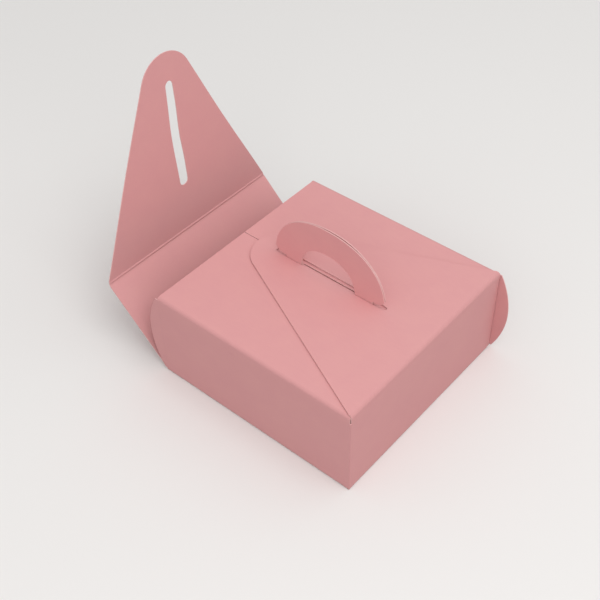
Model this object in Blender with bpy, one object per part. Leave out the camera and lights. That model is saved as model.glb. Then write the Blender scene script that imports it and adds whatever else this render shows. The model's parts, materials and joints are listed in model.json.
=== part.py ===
"""Folded card favor box, modelled as the panels of one die-cut sheet between its folds.

The left side and its lid stand open. The right lid is closed over the two top flaps, and the
two-layer handle stands up through its slot. X runs from the open left side to the right side,
Y from the front to the rear and Z up. The origin is the centre of the base's underside.
"""
import math

import bmesh
import bpy
from mathutils import Matrix, Vector

# The box and its card
BOX_SIDE = 0.100
BOX_HEIGHT = 0.0435
CARD = 0.0004
PANEL_GAP = 0.0003
SIDE_CLEARANCE = 0.0004
FOLD_RADIUS = 0.0005
SCORE_SETBACK = 0.00045

# The lids. Their slots are sized from the handle, and their tips from the slots.
LID_TIP_RADIUS = 0.0140
SLOT_WIDTH = 0.0044
LEFT_TIP_MARGIN = 0.0127
RIGHT_TIP_MARGIN = 0.0095
NECK_ROOM_AT_FOLD = 0.0022
NECK_ROOM_AT_TIP = 0.0036
EAR_PASSING_ROOM = 0.0008
LEFT_SLOT_SHIFT = -0.0013
RIGHT_SLOT_SHIFT = 0.0004

# The handle: two layers that stand on the seam of the top flaps
SEAM_OFFSET = 0.0021
HANDLE_CENTRE_X = -0.0021
HANDLE_HALF_WIDTH = 0.0283
HANDLE_RISE = 0.0252
HANDLE_NECK_HALF_WIDTH = 0.0225
EAR_CORNER_RADIUS = 0.0020
EAR_TILT_ROOM = 0.00015
FINGER_HOLE_HALF_WIDTH = 0.0141
FINGER_HOLE_RISE = 0.0133
FINGER_HOLE_SHIFT = -0.0005
DOME_POWER = 2.2
CROWN_SLOPE = 0.02

# The four corner tabs
TAB_REACH = 0.0069
TAB_END_REACH = 0.0014
TAB_FOOT_ROOM = 0.0014
TAB_HEAD_ROOM = 0.0006

# How far the open side leans out, and how far its lid bends back in, in degrees
LEFT_WALL_LEAN = 45.0
LEFT_LID_BEND = 41.5

# How finely curves are stepped
FOLD_STEPS = 4
TIP_STEPS = 20
SLOT_END_STEPS = 8
DOME_STEPS = 36
CORNER_STEPS = 5
TAB_STEPS = 20

# Levels and planes that several panels share
HALF_SIDE = BOX_SIDE / 2
HALF_CARD = CARD / 2
LAYER_PITCH = CARD + PANEL_GAP
WALL_MID = HALF_SIDE - HALF_CARD
BASE_MID_Z = HALF_CARD
RIGHT_LID_MID_Z = BOX_HEIGHT - HALF_CARD
TOP_FLAP_MID_Z = RIGHT_LID_MID_Z - LAYER_PITCH
LEFT_LID_MID_Z = RIGHT_LID_MID_Z + LAYER_PITCH
PANEL_HALF_WIDTH = HALF_SIDE - CARD - SIDE_CLEARANCE
TAB_FOLD_X = WALL_MID - LAYER_PITCH
FOLD_INSET = HALF_CARD + FOLD_RADIUS + PANEL_GAP

CARD_PINK = (0.730, 0.342, 0.342, 1.0)
CARD_ROUGHNESS = 0.75


def clear_scene():
    """Remove every object of the open scene."""
    for thing in list(bpy.data.objects):
        bpy.data.objects.remove(thing, do_unlink=True)


def card_material(name):
    """Uncoated pink card."""
    material = bpy.data.materials.new(name + "_card")
    material.use_nodes = True
    shader = material.node_tree.nodes["Principled BSDF"]
    shader.inputs["Base Color"].default_value = CARD_PINK
    shader.inputs["Roughness"].default_value = CARD_ROUGHNESS
    shader.inputs["Metallic"].default_value = 0.0
    material.diffuse_color = CARD_PINK
    return material


def add_object(name, bm):
    """Turn a bmesh into a named object with its own card material."""
    bmesh.ops.recalc_face_normals(bm, faces=bm.faces)
    mesh = bpy.data.meshes.new(name)
    bm.to_mesh(mesh)
    bm.free()
    mesh.shade_smooth()
    mesh.set_sharp_from_angle(angle=math.radians(30.0))
    mesh.materials.append(card_material(name))
    thing = bpy.data.objects.new(name, mesh)
    bpy.context.scene.collection.objects.link(thing)
    return thing


def place(thing, origin, along, away, parent=None):
    """Put an object's origin on its fold, its X along the fold and its Y away from it."""
    x_axis = Vector(along)
    y_axis = Vector(away)
    turn = Matrix((x_axis, y_axis, x_axis.cross(y_axis))).transposed()
    thing.rotation_euler = turn.to_euler()
    thing.location = origin
    thing.parent = parent
    return thing


def flat_panel(name, *loops):
    """A flat piece of card, its mid plane in XY, from an outline and the outlines of its holes."""
    bm = bmesh.new()
    edges = []
    for loop in loops:
        verts = [bm.verts.new((x, y, -HALF_CARD)) for x, y in loop]
        for start, end in zip(verts, verts[1:] + verts[:1]):
            edges.append(bm.edges.new((start, end)))
    bmesh.ops.triangle_fill(bm, use_beauty=True, edges=edges)
    grown = bmesh.ops.extrude_face_region(bm, geom=bm.faces[:])
    raised = [part for part in grown["geom"] if isinstance(part, bmesh.types.BMVert)]
    bmesh.ops.translate(bm, verts=raised, vec=(0, 0, CARD))
    return add_object(name, bm)


def extruded_panel(name, section, half_length):
    """A section in YZ, drawn out along X."""
    bm = bmesh.new()
    face = bm.faces.new([bm.verts.new((-half_length, y, z)) for y, z in section])
    grown = bmesh.ops.extrude_face_region(bm, geom=[face])
    raised = [part for part in grown["geom"] if isinstance(part, bmesh.types.BMVert)]
    bmesh.ops.translate(bm, verts=raised, vec=(2 * half_length, 0, 0))
    return add_object(name, bm)


def arc(centre, radius, start, end, steps):
    """Points on a circle from one angle to another, in degrees."""
    points = []
    for step in range(steps + 1):
        angle = math.radians(start + (end - start) * step / steps)
        points.append((centre[0] + radius * math.cos(angle), centre[1] + radius * math.sin(angle)))
    return points


def rectangle(x_low, x_high, y_low, y_high):
    """A rectangular outline."""
    return [(x_low, y_low), (x_high, y_low), (x_high, y_high), (x_low, y_high)]


def wall_section(top_mid_z, top_is_rounded):
    """A wall's section: Y is the depth in from its outer face and Z the height.

    Its foot turns in round the fold to the base. Its head turns in the same way, or ends a
    setback short of a fold that moves.
    """
    inset = HALF_CARD + FOLD_RADIUS
    outer = FOLD_RADIUS + HALF_CARD
    inner = FOLD_RADIUS - HALF_CARD
    foot = (inset, BASE_MID_Z + FOLD_RADIUS)
    points = arc(foot, outer, 270, 180, FOLD_STEPS)
    if top_is_rounded:
        head = (inset, top_mid_z - FOLD_RADIUS)
        points += arc(head, outer, 180, 90, FOLD_STEPS)
        points += arc(head, inner, 90, 180, FOLD_STEPS)
    else:
        points += [(0, top_mid_z - SCORE_SETBACK), (CARD, top_mid_z - SCORE_SETBACK)]
    return points + arc(foot, inner, 180, 270, FOLD_STEPS)


def slot_outline(start, end, centre):
    """A slot with round ends that runs away from a fold."""
    radius = SLOT_WIDTH / 2
    points = arc((centre, end - radius), radius, 0, 180, SLOT_END_STEPS)
    return points + arc((centre, start + radius), radius, 180, 360, SLOT_END_STEPS)


def lid_outline(length, tip_shift):
    """Straight sides from the fold's two ends that run into a round tip."""
    tip = (tip_shift, length - LID_TIP_RADIUS)
    reach = {}
    for side in (-1, 1):
        run = side * PANEL_HALF_WIDTH - tip[0]
        slant = math.hypot(run, tip[1])
        bearing = math.atan2(-tip[1], run)
        reach[side] = math.degrees(bearing + side * math.acos(LID_TIP_RADIUS / slant))
    points = arc(tip, LID_TIP_RADIUS, reach[1], reach[-1] + 360, TIP_STEPS)
    sides = []
    for side in (-1, 1):
        near = points[-1] if side < 0 else points[0]
        share = SCORE_SETBACK / near[1]
        corner = side * PANEL_HALF_WIDTH
        sides.append((corner + (near[0] - corner) * share, SCORE_SETBACK))
    return points + sides


def tab_outline(half_chord):
    """A shallow rounded tab: X along its fold and Y away from it."""
    drop = TAB_REACH - TAB_END_REACH
    radius = (half_chord ** 2 + drop ** 2) / (2 * drop)
    sweep = math.degrees(math.asin(half_chord / radius))
    bow = arc((0, TAB_REACH - radius), radius, 90 - sweep, 90 + sweep, TAB_STEPS)
    return bow + [(-half_chord, SCORE_SETBACK), (half_chord, SCORE_SETBACK)]


def dome(half_width, rise, angle):
    """A point of a broad rounded dome, as its share of the way round in degrees."""
    turn = math.radians(angle)
    across = math.copysign(abs(math.cos(turn)) ** (2 / DOME_POWER), math.cos(turn))
    return half_width * across, rise * math.sin(turn) ** (2 / DOME_POWER)


def handle_outline():
    """The handle seen from the front, with heights from its fold.

    Two legs rise from the fold and carry a domed grip, whose ears overhang the legs and hold
    the lids down. Between the legs lies the finger hole, open down to the fold.
    """
    lid_top = BOX_HEIGHT - TOP_FLAP_MID_Z
    ear_foot = LEFT_LID_MID_Z + HALF_CARD + PANEL_GAP + EAR_TILT_ROOM - TOP_FLAP_MID_Z
    flap_top = HALF_CARD
    corner = EAR_CORNER_RADIUS
    wide = HANDLE_HALF_WIDTH
    start = math.degrees(math.asin(((ear_foot + corner - lid_top) / HANDLE_RISE) ** (DOME_POWER / 2)))
    outer = [(HANDLE_NECK_HALF_WIDTH, SCORE_SETBACK), (HANDLE_NECK_HALF_WIDTH, ear_foot)]
    outer += arc((wide - corner, ear_foot + corner), corner, 270, 360, CORNER_STEPS)
    for step in range(1, DOME_STEPS):
        angle = start + (180 - 2 * start) * step / DOME_STEPS
        x, z = dome(wide, HANDLE_RISE, angle)
        outer.append((x, lid_top + z - CROWN_SLOPE * x * z / HANDLE_RISE))
    outer += arc((corner - wide, ear_foot + corner), corner, 180, 270, CORNER_STEPS)
    outer += [(-HANDLE_NECK_HALF_WIDTH, ear_foot), (-HANDLE_NECK_HALF_WIDTH, SCORE_SETBACK)]
    hole = []
    for step in range(DOME_STEPS + 1):
        x, z = dome(FINGER_HOLE_HALF_WIDTH, FINGER_HOLE_RISE, 180 - 180 * step / DOME_STEPS)
        height = flap_top + z - CROWN_SLOPE * x * z / HANDLE_RISE
        hole.append((FINGER_HOLE_SHIFT + x, max(height, SCORE_SETBACK)))
    return [(HANDLE_CENTRE_X + x, z) for x, z in outer + hole]


def top_flap_outline(free_edge, side):
    """A top flap: X across the box, Y from its fold to its free edge at the seam.

    The free edge steps back at the handle's two legs, which fold up from it there.
    """
    half = HALF_SIDE - CARD - PANEL_GAP
    leg_edge = free_edge + PANEL_GAP / 2 - LAYER_PITCH / 2 - SCORE_SETBACK
    hole_low = FINGER_HOLE_SHIFT - FINGER_HOLE_HALF_WIDTH
    hole_high = FINGER_HOLE_SHIFT + FINGER_HOLE_HALF_WIDTH
    legs = [(-HANDLE_NECK_HALF_WIDTH, hole_low), (hole_high, HANDLE_NECK_HALF_WIDTH)]
    points = [(-half, FOLD_INSET), (half, FOLD_INSET), (half, free_edge)]
    steps = []
    for low, high in legs:
        low_x = HANDLE_CENTRE_X + low - PANEL_GAP
        high_x = HANDLE_CENTRE_X + high + PANEL_GAP
        steps += [(low_x, free_edge), (low_x, leg_edge), (high_x, leg_edge), (high_x, free_edge)]
    if side > 0:
        points += reversed(steps)
    else:
        points += [(-x, y) for x, y in steps]
    return points + [(-half, free_edge)]


def build_shell():
    """The base and the three walls that stand."""
    base = flat_panel("base_panel", rectangle(SCORE_SETBACK - WALL_MID, HALF_SIDE - FOLD_INSET,
                                              FOLD_INSET - HALF_SIDE, HALF_SIDE - FOLD_INSET))
    place(base, (0, 0, BASE_MID_Z), (1, 0, 0), (0, 1, 0))
    folded_head = wall_section(TOP_FLAP_MID_Z, True)
    hinged_head = wall_section(RIGHT_LID_MID_Z, False)
    tab_side = TAB_FOLD_X - SCORE_SETBACK
    front = extruded_panel("front_wall", folded_head, tab_side)
    place(front, (0, -HALF_SIDE, 0), (1, 0, 0), (0, 1, 0))
    rear = extruded_panel("rear_wall", folded_head, tab_side)
    place(rear, (0, HALF_SIDE, 0), (-1, 0, 0), (0, -1, 0))
    right = extruded_panel("right_wall", hinged_head, PANEL_HALF_WIDTH)
    place(right, (HALF_SIDE, 0, 0), (0, 1, 0), (-1, 0, 0))


def build_top_flaps():
    """The front and rear top flaps, which meet at the seam under the handle."""
    front = flat_panel("front_top_flap",
                       top_flap_outline(HALF_SIDE + SEAM_OFFSET - PANEL_GAP / 2, 1))
    place(front, (0, -HALF_SIDE, TOP_FLAP_MID_Z), (1, 0, 0), (0, 1, 0))
    rear = flat_panel("rear_top_flap",
                      top_flap_outline(HALF_SIDE - SEAM_OFFSET - PANEL_GAP / 2, -1))
    place(rear, (0, HALF_SIDE, TOP_FLAP_MID_Z), (-1, 0, 0), (0, -1, 0))


def build_handle():
    """The handle's two layers, each on its own fold beside the seam."""
    for name, side in (("handle_front", -1), ("handle_rear", 1)):
        layer = flat_panel(name, handle_outline())
        fold_y = SEAM_OFFSET + side * LAYER_PITCH / 2
        place(layer, (0, fold_y, TOP_FLAP_MID_Z), (1, 0, 0), (0, 0, 1))


def build_left_side():
    """The open left wall, and its lid on the fold at its head."""
    length = LEFT_LID_MID_Z - BASE_MID_Z
    lean = math.radians(LEFT_WALL_LEAN)
    wall = flat_panel("left_wall", rectangle(-PANEL_HALF_WIDTH, PANEL_HALF_WIDTH,
                                             SCORE_SETBACK, length - SCORE_SETBACK))
    place(wall, (-WALL_MID, 0, BASE_MID_Z), (0, 1, 0), (-math.sin(lean), 0, math.cos(lean)))
    near = WALL_MID + HANDLE_CENTRE_X - HANDLE_NECK_HALF_WIDTH - NECK_ROOM_AT_FOLD
    far = WALL_MID + HANDLE_CENTRE_X + HANDLE_NECK_HALF_WIDTH + NECK_ROOM_AT_TIP
    lid = flat_panel("left_lid", lid_outline(far + LEFT_TIP_MARGIN, 0),
                     slot_outline(near, far, SEAM_OFFSET + LEFT_SLOT_SHIFT))
    bend = math.radians(LEFT_LID_BEND)
    place(lid, (0, length, 0), (1, 0, 0), (0, math.cos(bend), math.sin(bend)), wall)


def build_right_lid():
    """The closed right lid. Its slot is long enough for the handle's ears to pass as it opens."""
    near = WALL_MID - HANDLE_CENTRE_X - HANDLE_HALF_WIDTH - EAR_PASSING_ROOM
    far = WALL_MID - HANDLE_CENTRE_X + HANDLE_HALF_WIDTH + EAR_PASSING_ROOM
    lid = flat_panel("right_lid", lid_outline(far + RIGHT_TIP_MARGIN, -SEAM_OFFSET),
                     slot_outline(near, far, -(SEAM_OFFSET + RIGHT_SLOT_SHIFT)))
    place(lid, (WALL_MID, 0, RIGHT_LID_MID_Z), (0, -1, 0), (-1, 0, 0))


def build_corner_tabs():
    """The rounded tabs on the ends of the front and rear walls, on upright folds.

    Only the front right tab is tucked in, flat behind the right wall.
    """
    low = TAB_FOOT_ROOM
    high = TOP_FLAP_MID_Z - HALF_CARD - TAB_HEAD_ROOM
    middle = (low + high) / 2
    outline = tab_outline((high - low) / 2)
    tabs = (
        ("tab_front_left", -1, -1, (-1, 0, 0)),
        ("tab_front_right", 1, -1, (0, 1, 0)),
        ("tab_rear_left", -1, 1, (-1, 0, 0)),
        ("tab_rear_right", 1, 1, (1, 0, 0)),
    )
    for name, x_side, y_side, away in tabs:
        tab = flat_panel(name, outline)
        place(tab, (x_side * TAB_FOLD_X, y_side * WALL_MID, middle), (0, 0, 1), away)


def main():
    clear_scene()
    build_shell()
    build_top_flaps()
    build_handle()
    build_left_side()
    build_right_lid()
    build_corner_tabs()


main()
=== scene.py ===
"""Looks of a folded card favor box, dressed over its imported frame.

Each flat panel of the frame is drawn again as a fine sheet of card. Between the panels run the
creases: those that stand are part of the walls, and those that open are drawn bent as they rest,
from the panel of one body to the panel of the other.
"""
import json
import math

import bmesh
import bpy
from mathutils import Matrix, Quaternion, Vector
from mathutils.geometry import delaunay_2d_cdt


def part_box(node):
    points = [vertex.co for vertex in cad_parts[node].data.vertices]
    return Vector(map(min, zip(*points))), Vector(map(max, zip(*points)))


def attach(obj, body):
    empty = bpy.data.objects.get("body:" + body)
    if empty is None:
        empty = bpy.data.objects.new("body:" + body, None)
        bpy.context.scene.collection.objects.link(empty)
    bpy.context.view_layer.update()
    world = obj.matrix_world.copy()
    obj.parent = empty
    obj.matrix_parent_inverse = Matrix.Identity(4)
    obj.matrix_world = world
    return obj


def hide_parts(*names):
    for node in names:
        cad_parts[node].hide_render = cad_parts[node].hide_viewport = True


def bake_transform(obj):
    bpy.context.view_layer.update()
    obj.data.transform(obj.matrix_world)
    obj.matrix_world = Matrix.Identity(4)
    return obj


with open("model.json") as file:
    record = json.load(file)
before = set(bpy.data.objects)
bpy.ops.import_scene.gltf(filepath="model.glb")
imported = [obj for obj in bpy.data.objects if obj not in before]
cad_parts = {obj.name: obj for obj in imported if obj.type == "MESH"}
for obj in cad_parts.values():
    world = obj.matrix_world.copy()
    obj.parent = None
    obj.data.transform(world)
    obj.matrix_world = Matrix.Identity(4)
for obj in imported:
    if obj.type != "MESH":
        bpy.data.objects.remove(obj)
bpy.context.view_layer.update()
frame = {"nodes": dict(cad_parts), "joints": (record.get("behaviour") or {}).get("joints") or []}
JOINTS = {joint["name"]: joint for joint in frame["joints"]}

X = Vector((1, 0, 0))
Y = Vector((0, 1, 0))
Z = Vector((0, 0, 1))

# Millimetres, in the frame's metres
MM = 0.001

# Half the card's thickness
HALF_CARD = (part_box("base_panel")[1].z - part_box("base_panel")[0].z) / 2

# How far the round of each kind of fold reaches along both panels, and the flat lap that belongs
# to a crease past its round
TOP_REACH = 1.4 * MM
FOOT_REACH = 0.8 * MM
CORNER_REACH = 0.3 * MM
TAB_REACH = 0.6 * MM
LEG_REACH = 0.35 * MM
LAP = 0.2 * MM
LEG_LAP = 0.1 * MM

# How much painted shade a fold that lies flat gets, as a share of one bent to a right angle
FLAT_FOLD_SHARE = 0.15

# The mesh: rows in a fold's round, the spacing on flat card and how far that stays off the card's
# edges and rows, the step along a slot that narrows, and the steps in the length of an ear's round
CREASE_STEPS = 10
MESH_STEP = 3.0 * MM
MESH_CLEAR = MESH_STEP / 2
SLOT_STEP = MESH_STEP / 2
EAR_STEPS = 8

# Scoring has pressed a bead beside the left lid's fold and a groove along its other side: how far
# that fold's round reaches, how high and deep they are, where, how wide, and the length over which
# they fade out at the card's ends
SCORED_REACH = 1.2 * MM
SCORE_BEAD = 0.34 * MM
SCORE_BEAD_AT = 0.55 * MM
SCORE_GROOVE = 0.05 * MM
SCORE_GROOVE_AT = -0.5 * MM
SCORE_HALF_WIDTH = 0.5 * MM
SCORE_FADE = 2.0 * MM

# How far walls and flaps run on past the panels' ends in the frame, where the fold lets them, and
# the gap where card is cut free of card in the same plane
CORNER_RUN_ON = 0.35 * MM
SIDE_RUN_ON = 0.3 * MM
CUT_GAP = 0.1 * MM

# The short slit at the head of the front right corner: how far below the flap it reaches, how far
# the card beside it stays off the corner, and how far behind it the tucked tab begins
SLIT_DEPTH = 2.8 * MM
SLIT_SIDE = 0.36 * MM
TUCKED_BACK = 1.6 * MM

# The seam between the top flaps: how far behind the box's middle it lies, under the lid and in the
# finger hole, and how far each flap stays off it. It gapes at its left end and in the finger hole.
# The flaps step back round the handle's legs, closer than the frame needs.
SEAM = 2.75 * MM
SEAM_GAPE = 0.22 * MM
SEAM_SHUT = 0.03 * MM
SEAM_IN_FINGER_HOLE = 3.15 * MM
FINGER_HOLE_HALF_GAP = 0.3 * MM
NOTCH_CLOSER = 0.2 * MM

# The closed lid's slot is cut closer round the handle than the frame needs: its sides behind the
# box's middle, the length over which it narrows to its right end, and how much closer its ends are
SLOT_FRONT = 1.4 * MM
SLOT_REAR = 4.8 * MM
SLOT_RIGHT_REAR = 3.6 * MM
SLOT_NARROWING = 12.0 * MM
SLOT_RIGHT_CLOSER = 0.4 * MM
SLOT_LEFT_CLOSER = 0.3 * MM

# How far the right wall's rear end curls in to the rear wall, over what length, and over what
# height that fades out at its head. The tab past it reaches a little lower than in the frame.
END_CURL = 0.2 * MM
END_CURL_LENGTH = 2.0 * MM
END_CURL_FADE = 4.0 * MM
TAB_FOOT_LOWER = 0.6 * MM
TAB_FOOT_LENGTH = 10.0 * MM

# The open lid's slot bows forwards, at its rear side less and only between the handle's legs, which
# each take a share of its length, and it tapers. The lid's outline too lies forwards in its middle.
LEFT_SLOT_BOW = 0.8 * MM
LEFT_SLOT_REAR_SHARE = 0.7
LEFT_SLOT_TAPER = 0.7 * MM
LEG_SHARE = 0.2
LEFT_LID_FORWARD = 0.5 * MM

# The closed lid lifts off the flaps at its tip
TIP_LIFT = 0.12 * MM

# The handle's layers spring apart round one place on their tops: how far each layer springs, how
# far its ends close up, where that place is and how far it reaches to each side. The ears have
# rounder corners than in the frame.
FRONT_SPREAD = 0.05 * MM
REAR_SPREAD = 0.2 * MM
LAYERS_CLOSER = 0.12 * MM
SPREAD_MIDDLE = 3.0 * MM
SPREAD_HALF_WIDTH = 20.0 * MM
EAR_ROUND = 4.2 * MM

# Faces this close to a panel's own direction are its face, points this close are one point, and
# edges that turn more than this stay sharp
FACE_ALIGNMENT = 0.99
MERGE = 0.001 * MM
SHARP_DEGREES = 40

# A place on a sheet has two parts: how far along the fold and how far away from it
ALONG = 0
AWAY = 1


class Sheet:
    """Card laid over a line of corners. It is flat between them and rounded at each inner one.

    Places on it are given along the folds, and by their distance down the line.
    """

    def __init__(self, along, corners, reaches=()):
        self.along = along
        self.corners = corners
        self.ways = [(b - a).normalized() for a, b in zip(corners, corners[1:])]
        self.distances = [0.0]
        for before, after in zip(corners, corners[1:]):
            self.distances.append(self.distances[-1] + (after - before).length)
        self.folds = list(zip(self.distances[1:], reaches))

    def round_share(self, distance):
        """Which fold's round a distance is in and how far through, or None."""
        for i, (fold, reach) in enumerate(self.folds):
            share = (distance - fold) / (2 * reach) + 0.5
            if 0 < share < 1:
                return i, share
        return None

    def fold_shade_mask(self, distance):
        """How much painted shade a fold's round gets, from 0 on the flat to 1 in a sharp fold's
        middle.
        """
        found = self.round_share(distance)
        if not found:
            return 0.0
        i, share = found
        bend = min(1.0, 1 - self.ways[i].dot(self.ways[i + 1]))
        return 4 * share * (1 - share) * (FLAT_FOLD_SHARE + (1 - FLAT_FOLD_SHARE) * bend)

    def point(self, along, distance, lift):
        """The point of the frame at this place on the sheet, lifted off its middle."""
        found = self.round_share(distance)
        if found:
            i, share = found
            reach = self.folds[i][1]
            spot = self.corners[i + 1] - self.ways[i] * reach * (1 - share) ** 2
            spot += self.ways[i + 1] * reach * share ** 2
            way = (self.ways[i] * (1 - share) + self.ways[i + 1] * share).normalized()
        else:
            part = max(i for i, start in enumerate(self.distances[:-1])
                       if i == 0 or distance >= start)
            way = self.ways[part]
            spot = self.corners[part] + way * (distance - self.distances[part])
        return spot + self.along * along + self.along.cross(way) * lift

    def flat(self, point):
        """A point of the frame as a place on the sheet's first panel."""
        offset = point - self.corners[0]
        return offset.dot(self.along), offset.dot(self.ways[0])

    def rows(self):
        """The distances at which the rounds need an edge."""
        return [fold + reach * (2 * step / CREASE_STEPS - 1)
                for fold, reach in self.folds for step in range(CREASE_STEPS + 1)]


def panel(origin, along, away):
    """A sheet without folds, from a point on its edge."""
    return Sheet(along, [origin, origin + away])


def middle(node):
    """The middle of a CAD node's box."""
    low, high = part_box(node)
    return (low + high) / 2


def fold_point(joint):
    """A point on a fold's axis."""
    return Vector(JOINTS[joint]["pos_m"])


def turned(direction, axis, degrees):
    """A direction turned about an axis."""
    return Quaternion(axis, math.radians(degrees)) @ direction


def span(loop, part):
    """The lowest and highest value of one part of a loop's places."""
    values = [place[part] for place in loop]
    return min(values), max(values)


def outlines(node, sheet):
    """A flat CAD panel's outline and holes, as loops of places on a sheet, the outline first."""
    face_way = sheet.along.cross(sheet.ways[0])
    bm = bmesh.new()
    bm.from_mesh(frame["nodes"][node].data)
    bmesh.ops.remove_doubles(bm, verts=bm.verts, dist=MERGE)
    bm.normal_update()
    for face in bm.faces:
        face.tag = face.normal.dot(face_way) > FACE_ALIGNMENT
    follower = {}
    for face in bm.faces:
        for loop in face.loops:
            if face.tag and not loop.link_loop_radial_next.face.tag:
                follower[loop.vert] = loop.link_loop_next.vert
    loops = []
    while follower:
        vert = next(iter(follower))
        places = []
        while vert in follower:
            places.append(sheet.flat(vert.co))
            vert = follower.pop(vert)
        loops.append(places)
    bm.free()

    def width(loop):
        """How far a loop reaches along the fold."""
        low, high = span(loop, ALONG)
        return high - low

    return sorted(loops, key=width, reverse=True)


def inside(place, loop):
    """Whether a place lies inside a loop, by how often a ray from it crosses the loop."""
    x, y = place
    crossings = 0
    for (ax, ay), (bx, by) in zip(loop, loop[1:] + loop[:1]):
        if (ay > y) != (by > y) and x < ax + (bx - ax) * (y - ay) / (by - ay):
            crossings += 1
    return crossings % 2 == 1


def on_card(place, loops):
    """Whether a place lies inside the outline and outside its holes."""
    return inside(place, loops[0]) and not any(inside(place, hole) for hole in loops[1:])


def stepped(loop, length):
    """A loop whose long sides are divided."""
    places = []
    for start, end in zip(loop, loop[1:] + loop[:1]):
        steps = max(1, math.ceil(math.dist(start, end) / length))
        for step in range(steps):
            share = step / steps
            places.append(tuple(a + (b - a) * share for a, b in zip(start, end)))
    return places


def mesh_places(loops, rows):
    """Places on a grid over the card, clear of its edges and of its folds' rows."""
    rim = [place for loop in loops for place in loop]
    left, right = span(loops[0], ALONG)
    near, far = span(loops[0], AWAY)
    places = []
    for row in range(int((far - near) / MESH_STEP) + 1):
        for column in range(int((right - left) / MESH_STEP) + 1):
            place = (left + (column + row % 2 / 2) * MESH_STEP, near + row * MESH_STEP)
            clear = all(math.dist(place, corner) > MESH_CLEAR for corner in rim)
            clear = clear and all(abs(place[AWAY] - at) > MESH_CLEAR for at in rows)
            if clear and on_card(place, loops):
                places.append(place)
    return places


def cut_flat(loops, rows):
    """Divide the flat card into triangles, with an edge along each row: places and triangles."""
    places = []
    edges = []
    for loop in loops:
        start = len(places)
        places += loop
        edges += [(start + i, start + (i + 1) % len(loop)) for i in range(len(loop))]
    places += mesh_places(loops, rows)
    left, right = span(loops[0], ALONG)
    left -= MESH_STEP
    columns = math.ceil((right - left) / MESH_STEP) + 1
    for at in rows:
        start = len(places)
        places += [(left + column * MESH_STEP, at) for column in range(columns + 1)]
        edges += [(start + column, start + column + 1) for column in range(columns)]
    places = [Vector(place) for place in places]
    spots, _, triangles, *_ = delaunay_2d_cdt(places, edges, [], 0, MERGE)
    kept = []
    for triangle in triangles:
        centre = [sum(spots[i][part] for i in triangle) / len(triangle) for part in (ALONG, AWAY)]
        if on_card(centre, loops):
            kept.append(triangle)
    return spots, kept


def card(name, sheet, loops, bow=None):
    """A piece of card, cut flat to its outline and holes and then laid over the sheet's folds.

    A bow lifts the card off the sheet, by place.
    """
    rows = sheet.rows()
    spots, triangles = cut_flat([stepped(loop, MESH_STEP) for loop in loops], rows)
    bm = bmesh.new()
    # The crease attribute carries how much painted shade each corner of the card gets
    crease = bm.verts.layers.float.new("crease")
    sides = {}

    def vert(spot, side):
        """The corner of the card's face or back at a spot."""
        if (spot, side) not in sides:
            along, distance = spots[spot]
            lift = side * HALF_CARD + (bow(along, distance) if bow else 0.0)
            corner = bm.verts.new(sheet.point(along, distance, lift))
            corner[crease] = sheet.fold_shade_mask(distance)
            sides[spot, side] = corner
        return sides[spot, side]

    rim = set()
    for triangle in triangles:
        bm.faces.new([vert(i, 1) for i in triangle])
        bm.faces.new([vert(i, -1) for i in reversed(triangle)])
        for edge in zip(triangle, triangle[1:] + triangle[:1]):
            if edge[::-1] in rim:
                rim.remove(edge[::-1])
            else:
                rim.add(edge)
    # The rim between face and back takes the second material
    for a, b in sorted(rim):
        face = bm.faces.new((vert(b, 1), vert(a, 1), vert(a, -1), vert(b, -1)))
        face.material_index = 1
    mesh = bpy.data.meshes.new(name)
    bm.to_mesh(mesh)
    bm.free()
    mesh.shade_smooth()
    mesh.set_sharp_from_angle(angle=math.radians(SHARP_DEGREES))
    mesh.materials.append(CARD_FACE)
    mesh.materials.append(CUT_EDGE)
    piece = bpy.data.objects.new(name, mesh)
    bpy.context.scene.collection.objects.link(piece)
    return piece


def standing(body, node, sheet, loops, bow=None):
    """A piece of card that belongs to one body and stands in for a CAD node."""
    piece = card(node + "_card", sheet, loops, bow)
    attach(piece, body)
    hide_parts(node)


def bending(name, joint, ways, along, starts, ends, reach, lap=LAP, bow=None):
    """The crease on a fold that opens, drawn bent as the fold rests. It joins the panels of two
    bodies.

    It runs from starts to ends along the fold, each given on the first panel and on the second.
    """
    centre = fold_point(joint)
    centre -= along * centre.dot(along)
    width = reach + lap
    sheet = Sheet(along, [centre + ways[0] * width, centre, centre + ways[1] * width], (reach,))
    outline = [(starts[0], 0), (ends[0], 0), (ends[1], 2 * width), (starts[1], 2 * width)]
    piece = card(name, sheet, [outline], bow)
    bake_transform(piece)


def linear(hex_colour):
    """An sRGB hex colour as linear red, green, blue and alpha, by the curve of that standard."""
    parts = [int(hex_colour[i:i + 2], 16) / 255 for i in (1, 3, 5)]
    return [p / 12.92 if p <= 0.04045 else ((p + 0.055) / 1.055) ** 2.4 for p in parts] + [1.0]


def add_node(tree, kind, inputs=None, **settings):
    """Add a shader node. Its inputs are values, or outputs of other nodes to link from."""
    node = tree.nodes.new(kind)
    for name, value in settings.items():
        setattr(node, name, value)
    for socket, value in (inputs or {}).items():
        if isinstance(value, bpy.types.NodeSocket):
            tree.links.new(value, node.inputs[socket])
        else:
            node.inputs[socket].default_value = value
    return node


def new_material(name):
    """An empty material and its node tree."""
    material = bpy.data.materials.new(name)
    material.use_nodes = True
    material.node_tree.nodes.clear()
    return material, material.node_tree


# Uncoated card, dyed in the pulp and pressed between felts: matt, with a faint cloudy tone from
# its fibres and a fine grain along the sheet. Along each fold's round a deeper tone is painted in:
# painted shade, which tones down the brightness that the round catches. Each pattern's scale is 1
# over a size on the card.
CARD_PALE = "#DFA2A1"
CARD_DEEP = "#DC9E9F"
# Painted shade along the folds: its colour, and how much of it a sharp fold's middle gets
FOLD_SHADE_COLOUR = "#D29696"
FOLD_SHADE_SHARE = 0.8
CLOUD_SIZE = 9.0 * MM
CLOUD_DETAIL = 3.0
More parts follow.
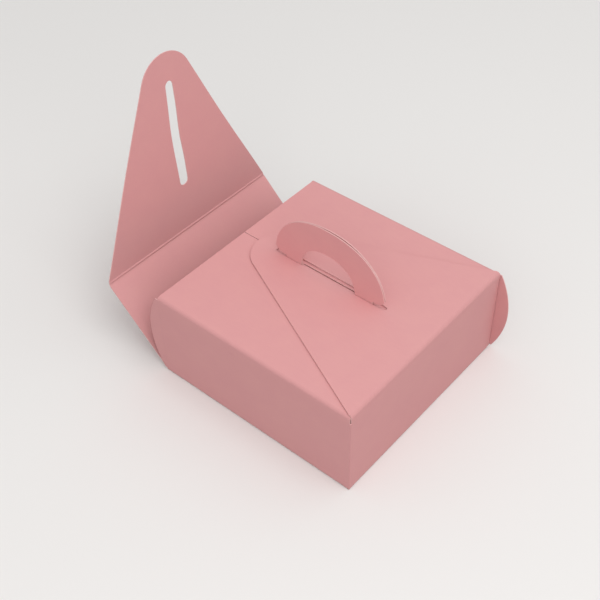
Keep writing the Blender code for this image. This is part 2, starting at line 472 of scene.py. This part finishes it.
# Real fibres are finer than a tenth of this, so they are drawn as small clumps that can show
FIBRE_CLUMP = 0.9 * MM
FIBRE_DETAIL = 5.0
FIBRE_COARSENESS = 0.6
GRAIN_LENGTH_SHARE = 0.22
# Clouds and fibres added up give the deepest and the palest tone at these sums
DEEPEST_SUM = 0.6
PALEST_SUM = 1.4
FIBRE_RELIEF = 0.03 * MM
RELIEF_STRENGTH = 0.5
CARD_SMOOTHEST = 0.68
CARD_ROUGHEST = 0.84
CARD_SPECULAR = 0.25


def uncoated_card():
    """The faces of the card."""
    material, tree = new_material("uncoated_card")
    place = add_node(tree, "ShaderNodeTexCoord").outputs["Object"]
    clouds = add_node(tree, "ShaderNodeTexNoise", {
        "Vector": place, "Scale": 1 / CLOUD_SIZE, "Detail": CLOUD_DETAIL})
    along_grain = add_node(tree, "ShaderNodeMapping", {
        "Vector": place, "Scale": (GRAIN_LENGTH_SHARE, 1.0, 1.0)})
    fibres = add_node(tree, "ShaderNodeTexNoise", {
        "Vector": along_grain.outputs["Vector"], "Scale": 1 / FIBRE_CLUMP,
        "Detail": FIBRE_DETAIL, "Roughness": FIBRE_COARSENESS})
    tone = add_node(tree, "ShaderNodeMath", {
        0: clouds.outputs["Fac"], 1: fibres.outputs["Fac"]}, operation="ADD")
    spread = add_node(tree, "ShaderNodeMapRange", {
        "Value": tone.outputs[0], "From Min": DEEPEST_SUM, "From Max": PALEST_SUM})
    colour = add_node(tree, "ShaderNodeMix", {
        "Factor": spread.outputs["Result"], "A": linear(CARD_DEEP), "B": linear(CARD_PALE)},
        data_type="RGBA")
    # Painted shade: the face's colour is mixed towards a deeper tone along each fold's round
    crease = add_node(tree, "ShaderNodeAttribute", attribute_name="crease")
    fold_shade = add_node(tree, "ShaderNodeMath", {
        0: crease.outputs["Fac"], 1: FOLD_SHADE_SHARE}, operation="MULTIPLY")
    scored = add_node(tree, "ShaderNodeMix", {
        "Factor": fold_shade.outputs[0], "A": colour.outputs["Result"], "B": linear(FOLD_SHADE_COLOUR)},
        data_type="RGBA")
    roughness = add_node(tree, "ShaderNodeMapRange", {
        "Value": fibres.outputs["Fac"], "To Min": CARD_SMOOTHEST, "To Max": CARD_ROUGHEST})
    relief = add_node(tree, "ShaderNodeBump", {
        "Height": fibres.outputs["Fac"], "Strength": RELIEF_STRENGTH, "Distance": FIBRE_RELIEF})
    shader = add_node(tree, "ShaderNodeBsdfPrincipled", {
        "Base Color": scored.outputs["Result"], "Roughness": roughness.outputs["Result"],
        "Normal": relief.outputs["Normal"], "Specular IOR Level": CARD_SPECULAR})
    add_node(tree, "ShaderNodeOutputMaterial", {"Surface": shader.outputs["BSDF"]})
    return material


# The die's cut through the card: torn fibre ends, paler and rougher than the pressed faces
CUT_PALE = "#EDC2BF"
CUT_DEEP = "#E2ADAB"
# Real fibre ends are finer than a tenth of this, so they are drawn coarser to show
CUT_FIBRE = 0.5 * MM
CUT_DETAIL = 4.0
CUT_RELIEF_STRENGTH = 0.6
CUT_ROUGHNESS = 0.9


def cut_card_edge():
    """The cut edges of the card."""
    material, tree = new_material("die_cut_card_edge")
    place = add_node(tree, "ShaderNodeTexCoord").outputs["Object"]
    fibres = add_node(tree, "ShaderNodeTexNoise", {
        "Vector": place, "Scale": 1 / CUT_FIBRE, "Detail": CUT_DETAIL})
    colour = add_node(tree, "ShaderNodeMix", {
        "Factor": fibres.outputs["Fac"], "A": linear(CUT_DEEP), "B": linear(CUT_PALE)},
        data_type="RGBA")
    relief = add_node(tree, "ShaderNodeBump", {
        "Height": fibres.outputs["Fac"], "Strength": CUT_RELIEF_STRENGTH, "Distance": FIBRE_RELIEF})
    shader = add_node(tree, "ShaderNodeBsdfPrincipled", {
        "Base Color": colour.outputs["Result"], "Roughness": CUT_ROUGHNESS,
        "Normal": relief.outputs["Normal"], "Specular IOR Level": CARD_SPECULAR})
    add_node(tree, "ShaderNodeOutputMaterial", {"Surface": shader.outputs["BSDF"]})
    return material


CARD_FACE = uncoated_card()
CUT_EDGE = cut_card_edge()


# The folds' lines and the panels' planes, all from the frame
LEFT_FOOT = fold_point("left_wall_fold")
LEFT_HEAD = fold_point("left_lid_fold")
RIGHT_HEAD = fold_point("right_lid_fold")
LEFT_WALL_UP = (LEFT_HEAD - LEFT_FOOT).normalized()
LEFT_LID_UP = turned(LEFT_WALL_UP, Vector(JOINTS["left_lid_fold"]["axis"]),
                     -JOINTS["left_lid_fold"]["range_deg"][1])
BASE_LEVEL = middle("base_panel").z
FLAP_LEVEL = middle("front_top_flap").z
SLIT_FOOT = FLAP_LEVEL - SLIT_DEPTH
WALL_X = RIGHT_HEAD.x
FRONT_Y = fold_point("tab_front_left_fold").y
REAR_Y = -FRONT_Y
TAB_X = fold_point("tab_rear_right_fold").x
SIDE_HALF_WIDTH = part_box("right_wall")[1].y


def trimmed(loop, start):
    """A panel's outline, drawn back from its fold to where its crease begins."""
    return [(x, max(y, start)) for x, y in loop]


def width_at(loop, distance):
    """The lowest and highest place along the fold of an outline, near the fold."""
    near = [x for x, y in loop if y < distance + MERGE]
    return min(near), max(near)


def smooth(share):
    """A smooth rise from 0 to 1."""
    share = max(0.0, min(1.0, share))
    return share * share * (3 - 2 * share)


def swell(share):
    """A smooth rise from 0 to 1 and back, flat at both ends."""
    return math.sin(math.pi * max(0.0, min(1.0, share))) ** 2


def base():
    """The base, square between its four folds."""
    edge = REAR_Y - FOOT_REACH - LAP
    left = LEFT_FOOT.x + FOOT_REACH + LAP
    right = WALL_X - FOOT_REACH - LAP
    sheet = panel(Vector((0, 0, BASE_LEVEL)), X, Y)
    outline = [(left, -edge), (right, -edge), (right, edge), (left, edge)]
    standing("box", "base_panel", sheet, [outline])


def tab_wall(node, outer):
    """The front or rear wall, from its foot's crease to its flap's.

    Its ends are notched for tabs that stand out, but the front wall's right end holds a slit.
    """
    inward = Y if outer < 0 else -Y
    foot = Vector((0, outer, BASE_LEVEL))
    head = Vector((0, outer, FLAP_LEVEL))
    corners = [foot + inward * (FOOT_REACH + LAP), foot, head, head + inward * (TOP_REACH + LAP)]
    sheet = Sheet(X, corners, (FOOT_REACH, TOP_REACH))
    end = sheet.distances[-1]
    full = TAB_X + CORNER_RUN_ON
    short = TAB_X - TAB_REACH - LAP

    def notched(tab):
        """A right end with the notch that holds a tab's crease, from the foot up."""
        low, high = tab_ends(tab)
        level = sheet.distances[1] - BASE_LEVEL
        low += level - CUT_GAP
        high += level + CUT_GAP
        return [(full, 0), (full, low), (short, low), (short, high), (full, high), (full, end)]

    if outer < 0:
        right = WALL_X - CORNER_REACH
        slit = WALL_X - SLIT_SIDE
        slit_foot = sheet.distances[1] + SLIT_FOOT - BASE_LEVEL
        outline = [(right, 0), (right, slit_foot), (slit, slit_foot), (slit, end)]
        left_tab = "tab_front_left"
    else:
        outline = notched("tab_rear_right")
        left_tab = "tab_rear_left"
    standing("box", node, sheet, [outline + [(-x, y) for x, y in reversed(notched(left_tab))]])


def standing_tab(node):
    """A tab that stands out: its sheet and its outline past its crease."""
    sheet = panel(fold_point(node + "_fold"), Z, X * (-1 if "left" in node else 1))
    outline = outlines(node, sheet)[0]
    if "right" in node:
        low = span(outline, ALONG)[0]
        outline = [(x - TAB_FOOT_LOWER * (1 - smooth((x - low) / TAB_FOOT_LENGTH)), y)
                   for x, y in outline]
    return sheet, trimmed(outline, TAB_REACH + LAP)


def tab_ends(node):
    """The lowest and highest level of a tab's crease."""
    low, high = width_at(standing_tab(node)[1], TAB_REACH + LAP)
    level = fold_point(node + "_fold").z
    return level + low, level + high


def right_wall():
    """The right wall, up to where the closed lid's crease begins."""
    foot = Vector((WALL_X, 0, BASE_LEVEL))
    head = RIGHT_HEAD - Z * (TOP_REACH + LAP)
    sheet = Sheet(Y, [foot - X * (FOOT_REACH + LAP), foot, head], (FOOT_REACH,))
    front = FRONT_Y + CORNER_REACH
    rear = SIDE_HALF_WIDTH + CUT_GAP
    end = sheet.distances[-1]

    def curled(x, y):
        """How far the wall stands out. Its rear end curls in, but not at its head."""
        near_end = smooth((x - rear) / END_CURL_LENGTH + 1)
        return -END_CURL * near_end * smooth((end - y) / END_CURL_FADE)

    slit = FRONT_Y + SLIT_SIDE
    slit_foot = sheet.distances[1] + SLIT_FOOT - BASE_LEVEL
    outline = [(front, 0), (rear, 0), (rear, end), (slit, end)]
    outline += [(slit, slit_foot), (front, slit_foot)]
    standing("box", "right_wall", sheet, [outline], bow=curled)


def front_corner():
    """The fold between the front and right walls, up to the short slit at its head."""
    corner = Vector((WALL_X, FRONT_Y, 0))
    corners = [corner - X * CORNER_REACH, corner, corner + Y * CORNER_REACH]
    sheet = Sheet(Z, corners, (CORNER_REACH,))
    low = BASE_LEVEL + HALF_CARD
    end = 2 * CORNER_REACH
    outline = [(low, 0), (SLIT_FOOT, 0), (SLIT_FOOT, end), (low, end)]
    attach(card("front_corner_crease", sheet, [outline]), "box")


def top_flap(node, side):
    """A top flap. Its free edge lies at the seam and steps back round the handle's legs."""
    sheet = panel(Vector((0, 0, FLAP_LEVEL)), X, Y)
    outline = outlines(node, sheet)[0]
    free = max(y * -side for x, y in outline) * -side
    fold = side * (REAR_Y - TOP_REACH - LAP)
    left = -TAB_X - CORNER_RUN_ON
    right = WALL_X - TOP_REACH / 2
    # From the left, the free edge steps at its end, at the legs' notches and at the hole between
    steps = sorted(x for x, y in outline if abs(y - free) < MERGE)
    left_end, left_notch, hole_start, hole_end, right_notch, *_ = steps
    closer = {left_notch: NOTCH_CLOSER, hole_start: -NOTCH_CLOSER,
              hole_end: NOTCH_CLOSER, right_notch: -NOTCH_CLOSER}
    places = []
    for x, y in outline:
        if abs(y) > abs(fold):
            y = fold
        elif abs(y - free) < MERGE and hole_start <= x <= hole_end:
            y = SEAM_IN_FINGER_HOLE + side * FINGER_HOLE_HALF_GAP
        elif abs(y - free) < MERGE:
            y = SEAM + side * (SEAM_GAPE if x == left_end else SEAM_SHUT)
        if abs(x) > TAB_X:
            x = left if x < 0 else right
        near = [step for step in closer if abs(x - step) < MERGE]
        places.append((x + closer[near[0]] if near else x, y))
    standing("box", node, sheet, [places])


def left_side():
    """The open left wall and its lid, with the creases at the wall's foot and head."""
    start = TOP_REACH + LAP
    length = (LEFT_HEAD - LEFT_FOOT).length
    half = SIDE_HALF_WIDTH + SIDE_RUN_ON
    low = FOOT_REACH + LAP
    high = length - start
    outline = [(-half, low), (half, low), (half, high), (-half, high)]
    standing("left_wall", "left_wall", panel(LEFT_FOOT, Y, LEFT_WALL_UP), [outline])
    lid = panel(LEFT_HEAD, Y, LEFT_LID_UP)
    outline, slot = outlines("left_lid", lid)
    outline = trimmed(outline, start)
    ends = width_at(outline, start)
    reach = span(outline, AWAY)[1]
    first, last = span(slot, AWAY)
    axis = sum(span(slot, ALONG)) / 2

    def bowed(x, y):
        """A place on the slot's edge, bowed forwards, and at the rear only between the legs."""
        share = (y - first) / (last - first)
        if x > axis:
            between = (share - LEG_SHARE) / (1 - 2 * LEG_SHARE)
            return x - LEFT_SLOT_BOW * LEFT_SLOT_REAR_SHARE * swell(between), y
        return x - LEFT_SLOT_BOW * swell(share) + LEFT_SLOT_TAPER * (share - 0.5), y

    slot = [bowed(x, y) for x, y in stepped(slot, MESH_STEP)]
    outline = [(x - LEFT_LID_FORWARD * swell((y - start) / (reach - start)), y)
               for x, y in stepped(outline, MESH_STEP)]
    standing("left_lid", "left_lid", lid, [outline, slot])
    bending("left_wall_crease", "left_wall_fold", (X, LEFT_WALL_UP), Y,
            (-half, -half), (half, half), FOOT_REACH)

    def scored(x, y):
        """The height of the bead and the groove that scoring pressed along the fold."""
        beside = (y - start) / SCORE_HALF_WIDTH
        bead = max(0.0, 1 - (beside - SCORE_BEAD_AT / SCORE_HALF_WIDTH) ** 2)
        groove = max(0.0, 1 - (beside - SCORE_GROOVE_AT / SCORE_HALF_WIDTH) ** 2)
        return (SCORE_BEAD * bead - SCORE_GROOVE * groove) * smooth((half - abs(x)) / SCORE_FADE)

    ways = (-LEFT_WALL_UP, LEFT_LID_UP)
    bending("left_lid_crease", "left_lid_fold", ways, Y,
            (-half, ends[0]), (half, ends[1]), SCORED_REACH, start - SCORED_REACH, scored)


def right_lid():
    """The closed right lid and its crease."""
    start = TOP_REACH + LAP
    lid = panel(RIGHT_HEAD, Y, -X)
    outline, slot = outlines("right_lid", lid)
    outline = trimmed(outline, start)
    ends = width_at(outline, start)
    reach = span(outline, AWAY)[1]
    front, rear = span(slot, ALONG)
    nearest, farthest = span(slot, AWAY)
    nearest += SLOT_RIGHT_CLOSER
    farthest -= SLOT_LEFT_CLOSER

    def fitted(x, y):
        """A place on the slot's edge, cut closer round the handle. It narrows to its right end."""
        narrow = 1 - smooth((y - nearest) / SLOT_NARROWING)
        back = SLOT_REAR + (SLOT_RIGHT_REAR - SLOT_REAR) * narrow
        across = SLOT_FRONT + (back - SLOT_FRONT) * (x - front) / (rear - front)
        return across, min(max(y, nearest), farthest)

    slot = [fitted(x, y) for x, y in stepped(slot, SLOT_STEP)]

    def lifted(x, y):
        """How far the lid stands off its plane. The half of it with the tip lifts."""
        return TIP_LIFT * smooth(2 * y / reach - 1)

    standing("right_lid", "right_lid", lid, [outline, slot], bow=lifted)
    bending("right_lid_crease", "right_lid_fold", (-Z, -X), Y,
            (FRONT_Y + SLIT_SIDE, ends[0]), (SIDE_HALF_WIDTH, ends[1]), TOP_REACH)


def rounded_ears(outline, leg):
    """The handle's outline with rounder lower corners on its ears, which reach past the legs."""
    ear = min(y for x, y in outline if x < leg - MERGE)
    left, right = span(outline, ALONG)
    left += EAR_ROUND
    right -= EAR_ROUND
    level = ear + EAR_ROUND
    places = []
    for x, y in stepped(outline, EAR_ROUND / EAR_STEPS):
        centre = Vector((left if x < left else right, level))
        offset = Vector((x, y)) - centre
        if y < level and (x < left or x > right) and offset.length > EAR_ROUND:
            x, y = centre + offset.normalized() * EAR_ROUND
        places.append((x, y))
    return places


def handle():
    """The handle's two layers, sprung a little apart, and the creases under their legs."""
    layers = (("handle_front", -1, FRONT_SPREAD), ("handle_rear", 1, REAR_SPREAD))
    for layer, side, spread in layers:
        joint = layer + "_fold"
        sheet = panel(fold_point(joint), X, Z)
        outline = outlines(layer, sheet)[0]
        foot, rise = span(outline, AWAY)
        feet = sorted(x for x, y in outline if y < foot + MERGE)

        def sprung(x, y):
            """How far the layer stands off its plane, most in the middle of its top."""
            share = smooth(1 - abs(x - SPREAD_MIDDLE) / SPREAD_HALF_WIDTH)
            return -side * (spread * share - LAYERS_CLOSER * (1 - share)) * smooth(y / rise)

        standing(layer, layer, sheet, [rounded_ears(outline, feet[0])], bow=sprung)
        for leg, low, high in (("left_leg", feet[0], feet[1]), ("right_leg", feet[-2], feet[-1])):
            bending(f"{layer}_{leg}_crease", joint, (Y * side, Z), X,
                    (low, low), (high, high), LEG_REACH, LEG_LAP)


def tabs():
    """The rounded corner tabs. Three stand out on creases of their own and one is tucked in."""
    for name, x_side in (("tab_front_left", -1), ("tab_rear_left", -1), ("tab_rear_right", 1)):
        joint = name + "_fold"
        sheet, outline = standing_tab(name)
        standing(name, name, sheet, [outline])
        low, high = tab_ends(name)
        bending(name + "_crease", joint, (X * -x_side, X * x_side), Z,
                (low, low), (high, high), TAB_REACH)
    centre = middle("tab_front_right")
    tucked = panel(centre, Z, Y)
    outline = trimmed(outlines("tab_front_right", tucked)[0], FRONT_Y + TUCKED_BACK - centre.y)
    standing("box", "tab_front_right", tucked, [outline])


base()
tab_wall("front_wall", FRONT_Y)
tab_wall("rear_wall", REAR_Y)
right_wall()
front_corner()
top_flap("front_top_flap", -1)
top_flap("rear_top_flap", 1)
left_side()
right_lid()
handle()
tabs()


# The camera stands where the photograph was taken from: its direction from the middle of the base
# and its turn in degrees, its distance and its shifts across its own view in metres, its lens in
# millimetres, and the nearest distance that it sees in metres
CAMERA_AZIMUTH = 41.0
CAMERA_ELEVATION = 44.12
CAMERA_ROLL = -1.294
CAMERA_DISTANCE = 0.4512
CAMERA_SIDEWAYS = 0.0129
CAMERA_UPWARD = -0.02466
CAMERA_LENS = 62.18
CAMERA_NEAREST = 0.01


def camera():
    """The camera, turned to the base's middle and then moved across its own view."""
    azimuth = math.radians(CAMERA_AZIMUTH)
    elevation = math.radians(CAMERA_ELEVATION)
    back = Vector((math.sin(azimuth) * math.cos(elevation),
                   -math.cos(azimuth) * math.cos(elevation), math.sin(elevation)))
    right = turned(Z.cross(back).normalized(), back, CAMERA_ROLL)
    up = back.cross(right)
    data = bpy.data.cameras.new("camera")
    data.lens = CAMERA_LENS
    data.clip_start = CAMERA_NEAREST
    viewer = bpy.data.objects.new("camera", data)
    viewer.location = back * CAMERA_DISTANCE - right * CAMERA_SIDEWAYS - up * CAMERA_UPWARD
    viewer.rotation_mode = "QUATERNION"
    viewer.rotation_quaternion = Matrix((right, up, back)).transposed().to_quaternion()
    bpy.context.scene.collection.objects.link(viewer)
    bpy.context.scene.camera = viewer


# The studio, in metres and watts: a floor of matt paper, which has no gloss and one pale tone. It
# gives back less light than it shows and fades into the backdrop far off. Even white fill and broad
# lamps light the box. Each lamp has its name, place, size and power.
FLOOR_SIZE = 6.0
FADE_START = 0.3
FADE_END = 1.1
FLOOR_SHOWN = "#EDEBE9"
FLOOR_LIT = "#B3B2B1"
BACKDROP_STRENGTH = 1.0
FILL_COLOUR = "#FFFFFF"
FILL_STRENGTH = 0.62
LAMPS = (
    ("front_lamp", (0.1, -1.1, 0.6), 0.9, 0.8),
    ("front_right_lamp", (0.7, -0.7, 0.6), 0.9, 2.85),
    ("rear_lamp", (0.4, 0.5, 1.1), 0.9, 0.8),
    ("right_lamp", (0.5, -0.1, 1.1), 0.7, 4.0),
)


def area_lamp(name, place, size, power):
    """A square soft lamp that faces the box."""
    data = bpy.data.lights.new(name, "AREA")
    data.size = size
    data.energy = power
    lamp = bpy.data.objects.new(name, data)
    lamp.location = place
    lamp.rotation_mode = "QUATERNION"
    lamp.rotation_quaternion = (-Vector(place)).to_track_quat("-Z", "Y")
    bpy.context.scene.collection.objects.link(lamp)


def seen(tree):
    """1 for rays that show a surface, also in gloss or glass, and 0 for those that only light."""
    path = add_node(tree, "ShaderNodeLightPath").outputs
    both = add_node(tree, "ShaderNodeMath", {
        0: path["Is Camera Ray"], 1: path["Is Glossy Ray"]}, operation="ADD")
    every = add_node(tree, "ShaderNodeMath", {
        0: both.outputs[0], 1: path["Is Transmission Ray"]}, operation="ADD", use_clamp=True)
    return every.outputs[0]


def paper_floor():
    """The floor, which fades into the backdrop."""
    bm = bmesh.new()
    bmesh.ops.create_grid(bm, x_segments=1, y_segments=1, size=FLOOR_SIZE / 2)
    mesh = bpy.data.meshes.new("floor")
    bm.to_mesh(mesh)
    bm.free()
    material, tree = new_material("matt_floor_paper")
    shown = seen(tree)
    colour = add_node(tree, "ShaderNodeMix", {
        "Factor": shown, "A": linear(FLOOR_LIT), "B": linear(FLOOR_SHOWN)},
        data_type="RGBA")
    near = add_node(tree, "ShaderNodeBsdfDiffuse", {"Color": colour.outputs["Result"]})
    place = add_node(tree, "ShaderNodeTexCoord").outputs["Object"]
    distance = add_node(tree, "ShaderNodeVectorMath", {0: place}, operation="LENGTH")
    fade = add_node(tree, "ShaderNodeMapRange", {
        "Value": distance.outputs["Value"], "From Min": FADE_START, "From Max": FADE_END,
        "To Max": shown}, interpolation_type="SMOOTHSTEP")
    far = add_node(tree, "ShaderNodeEmission", {
        "Color": linear(FLOOR_SHOWN), "Strength": BACKDROP_STRENGTH})
    shader = add_node(tree, "ShaderNodeMixShader", {
        0: fade.outputs["Result"], 1: near.outputs[0], 2: far.outputs[0]})
    add_node(tree, "ShaderNodeOutputMaterial", {"Surface": shader.outputs[0]})
    mesh.materials.append(material)
    floor = bpy.data.objects.new("floor", mesh)
    bpy.context.scene.collection.objects.link(floor)


def surroundings():
    """The world: an even fill that lights the box, and a backdrop that is only seen."""
    world = bpy.data.worlds.new("studio")
    world.use_nodes = True
    tree = world.node_tree
    tree.nodes.clear()
    fill = add_node(tree, "ShaderNodeBackground", {
        "Color": linear(FILL_COLOUR), "Strength": FILL_STRENGTH})
    backdrop = add_node(tree, "ShaderNodeBackground", {
        "Color": linear(FLOOR_SHOWN), "Strength": BACKDROP_STRENGTH})
    both = add_node(tree, "ShaderNodeMixShader", {
        0: seen(tree), 1: fill.outputs[0], 2: backdrop.outputs[0]})
    add_node(tree, "ShaderNodeOutputWorld", {"Surface": both.outputs[0]})
    bpy.context.scene.world = world


camera()
paper_floor()
for lamp_settings in LAMPS:
    area_lamp(*lamp_settings)
surroundings()
bpy.context.scene.view_settings.view_transform = "Standard"
